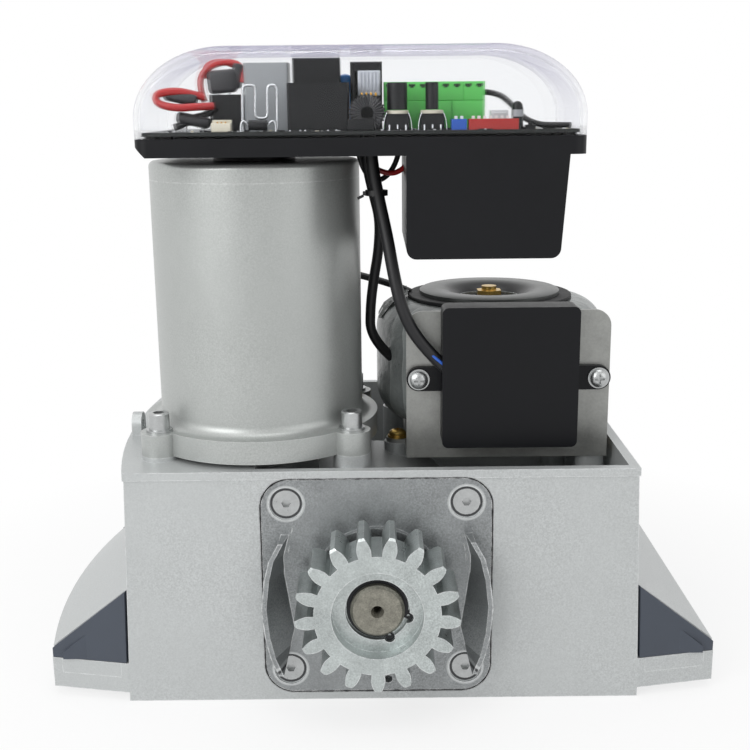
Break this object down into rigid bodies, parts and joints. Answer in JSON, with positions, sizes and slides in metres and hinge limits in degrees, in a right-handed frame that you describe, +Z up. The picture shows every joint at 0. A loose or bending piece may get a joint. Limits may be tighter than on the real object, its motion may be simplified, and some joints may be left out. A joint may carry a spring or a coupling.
{
  "type": "sliding gate motor",
  "caption": "Electric sliding gate operator without its cover: cast base, worm gear with an output pinion, upright motor, ring transformer and a control board under a clear dome.",
  "frame": {"origin": "centre of the four foundation bolt slots, on the floor plane", "axes": "+Z up, -Y towards the gate and the pinion, +X to the right as seen from the gate"},
  "size_m": [0.334, 0.229, 0.3087],
  "materials": {
    "cast_grey": "satin paint",
    "cover_grey": "moulded, satin",
    "flange_metal": "machined casting",
    "zinc_steel": "zinc plated",
    "black_rubber": "matt",
    "black_oxide": "black oxide",
    "bearing_steel": "ground",
    "bronze": "machined bronze",
    "lamination": "laminated",
    "copper": "enamelled wire",
    "motor_grey": "satin paint",
    "magnet_dark": "matt",
    "black_plastic": "moulded, satin",
    "carbon": "matt",
    "brass_metal": "turned",
    "tape_grey": "wound tape",
    "bracket_steel": "galvanised sheet",
    "clear_plastic": "clear moulding",
    "board_green": "solder mask",
    "relay_black": "moulded",
    "terminal_green": "moulded",
    "coil_black": "wound, sleeved",
    "switch_blue": "moulded",
    "switch_red": "moulded",
    "white_plastic": "moulded",
    "cable_black": "sheathed cable"
  },
  "bodies": {
    "base": {"base_housing": "cast_grey", "bolt_covers": "cover_grey", "output_flange": "flange_metal", "flange_screws": "zinc_steel", "oil_seal": "black_rubber", "output_bearings": "bearing_steel", "motor_housing": "motor_grey", "motor_end_cap": "motor_grey", "motor_magnets": "magnet_dark", "brush_holder": "black_plastic", "motor_brushes": "carbon", "rotor_bearings": "bearing_steel", "motor_bolts": "zinc_steel", "toroid_transformer": "tape_grey", "toroid_pads": "black_rubber", "clamp_washer": "zinc_steel", "clamp_bolt": "brass_metal", "transformer_bracket": "bracket_steel", "bracket_screws": "brass_metal", "junction_box": "black_plastic", "junction_box_screws": "zinc_steel", "control_tray": "black_plastic", "clear_cover": "clear_plastic", "circuit_board": "board_green", "relays": "relay_black", "terminal_block": "terminal_green", "inductor": "coil_black", "phone_jack": "black_plastic", "trimmer_bases": "black_plastic", "dip_switch_blue": "switch_blue", "dip_switch_red": "switch_red", "tact_switch": "black_plastic", "transformer_cable": "cable_black", "primary_lead": "cable_black", "antenna_wire": "cable_black"},
    "output_train": {"pinion": "zinc_steel", "output_shaft": "bearing_steel", "shaft_keys": "bearing_steel", "shaft_circlip": "black_oxide", "worm_wheel": "bronze"},
    "rotor": {"worm_shaft": "bearing_steel", "armature_core": "lamination", "armature_windings": "copper", "commutator": "copper"},
    "lever": {"release_lever": "black_plastic"},
    "lock": {"release_lock": "zinc_steel"},
    "rod": {"release_rod": "bearing_steel"},
    "knob_1": {"trimmer_knob_1": "black_plastic"},
    "knob_2": {"trimmer_knob_2": "black_plastic"},
    "button": {"tact_button": "black_plastic"},
    "dip_lever_01": {"dip_lever_01": "white_plastic"},
    "dip_lever_02": {"dip_lever_02": "white_plastic"},
    "dip_lever_03": {"dip_lever_03": "white_plastic"},
    "dip_lever_04": {"dip_lever_04": "white_plastic"},
    "dip_lever_05": {"dip_lever_05": "white_plastic"},
    "dip_lever_06": {"dip_lever_06": "white_plastic"},
    "dip_lever_07": {"dip_lever_07": "white_plastic"},
    "dip_lever_08": {"dip_lever_08": "white_plastic"},
    "dip_lever_09": {"dip_lever_09": "white_plastic"},
    "dip_lever_10": {"dip_lever_10": "white_plastic"}
  },
  "joints": [
    {"name": "rotor_spin", "type": "hinge", "parent": "base", "child": "rotor", "pos_m": [-0.0605, -0.0255, 0.2], "axis": [0, 0, 1], "continuous": true},
    {"name": "output_spin", "type": "hinge", "parent": "base", "child": "output_train", "pos_m": [-0.0025, -0.0255, 0.0589], "axis": [0, 1, 0], "continuous": true},
    {"name": "release_swing", "type": "hinge", "parent": "base", "child": "lever", "pos_m": [-0.0025, 0.1005, 0.0589], "axis": [0, 0, 1], "range_deg": [0, 90]},
    {"name": "rod_push", "type": "slide", "parent": "base", "child": "rod", "axis": [0, -1, 0], "range_m": [0, 0.0043]},
    {"name": "lock_turn", "type": "hinge", "parent": "lever", "child": "lock", "pos_m": [0.0555, 0.1005, 0.0589], "axis": [0, 1, 0], "range_deg": [0, 90]},
    {"name": "knob_1_turn", "type": "hinge", "parent": "base", "child": "knob_1", "pos_m": [0.0086, -0.073, 0.2812], "axis": [0, 0, 1], "range_deg": [-135, 135]},
    {"name": "knob_2_turn", "type": "hinge", "parent": "base", "child": "knob_2", "pos_m": [0.024, -0.073, 0.2812], "axis": [0, 0, 1], "range_deg": [-135, 135]},
    {"name": "button_press", "type": "slide", "parent": "base", "child": "button", "axis": [0, 0, -1], "range_m": [0, 0.00025], "stiffness_N_per_m": 300, "springref_m": -0.0002},
    {"name": "dip_lever_01_slide", "type": "slide", "parent": "base", "child": "dip_lever_01", "axis": [0, 1, 0], "range_m": [0, 0.0015]},
    {"name": "dip_lever_02_slide", "type": "slide", "parent": "base", "child": "dip_lever_02", "axis": [0, 1, 0], "range_m": [0, 0.0015]},
    {"name": "dip_lever_03_slide", "type": "slide", "parent": "base", "child": "dip_lever_03", "axis": [0, 1, 0], "range_m": [0, 0.0015]},
    {"name": "dip_lever_04_slide", "type": "slide", "parent": "base", "child": "dip_lever_04", "axis": [0, 1, 0], "range_m": [0, 0.0015]},
    {"name": "dip_lever_05_slide", "type": "slide", "parent": "base", "child": "dip_lever_05", "axis": [0, 1, 0], "range_m": [0, 0.0015]},
    {"name": "dip_lever_06_slide", "type": "slide", "parent": "base", "child": "dip_lever_06", "axis": [0, 1, 0], "range_m": [0, 0.0015]},
    {"name": "dip_lever_07_slide", "type": "slide", "parent": "base", "child": "dip_lever_07", "axis": [0, 1, 0], "range_m": [0, 0.0015]},
    {"name": "dip_lever_08_slide", "type": "slide", "parent": "base", "child": "dip_lever_08", "axis": [0, 1, 0], "range_m": [0, 0.0015]},
    {"name": "dip_lever_09_slide", "type": "slide", "parent": "base", "child": "dip_lever_09", "axis": [0, 1, 0], "range_m": [0, 0.0015]},
    {"name": "dip_lever_10_slide", "type": "slide", "parent": "base", "child": "dip_lever_10", "axis": [0, 1, 0], "range_m": [0, 0.0015]}
  ],
  "couplings": [
    {"joint": "output_spin", "follows": "rotor_spin", "ratio": -0.032258},
    {"joint": "rod_push", "follows": "release_swing", "m_per_rad": 0.0027375}
  ]
}
